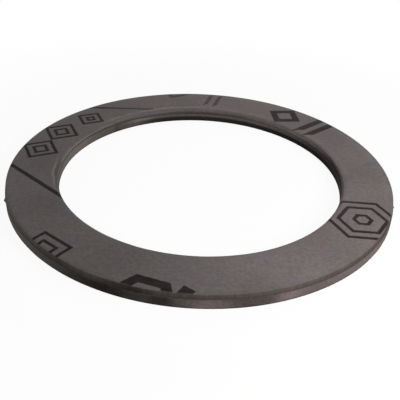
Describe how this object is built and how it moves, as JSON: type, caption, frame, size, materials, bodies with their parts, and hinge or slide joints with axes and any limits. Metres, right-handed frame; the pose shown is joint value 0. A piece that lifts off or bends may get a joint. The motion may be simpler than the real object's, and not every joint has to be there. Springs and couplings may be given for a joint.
{
  "type": "flat ring gasket",
  "caption": "Flat ring gasket cut from thick dark grey fibre jointing sheet, with a large plain bore, broad flat sealing faces and rolled cut edges.",
  "frame": {"origin": "centre of the lower sealing face, on the axis of the bore", "axes": "+Z along the axis of the bore, from the lower face to the printed upper face; +X to the right and +Y to the back of the ring as it lies; the ring is the same all round, so X and Y are only set by the print"},
  "size_m": [0.08, 0.08, 0.003],
  "materials": {
    "jointing_sheet": "matt, faintly mottled"
  },
  "bodies": {
    "root": {"gasket_ring": "jointing_sheet"}
  },
  "joints": []
}
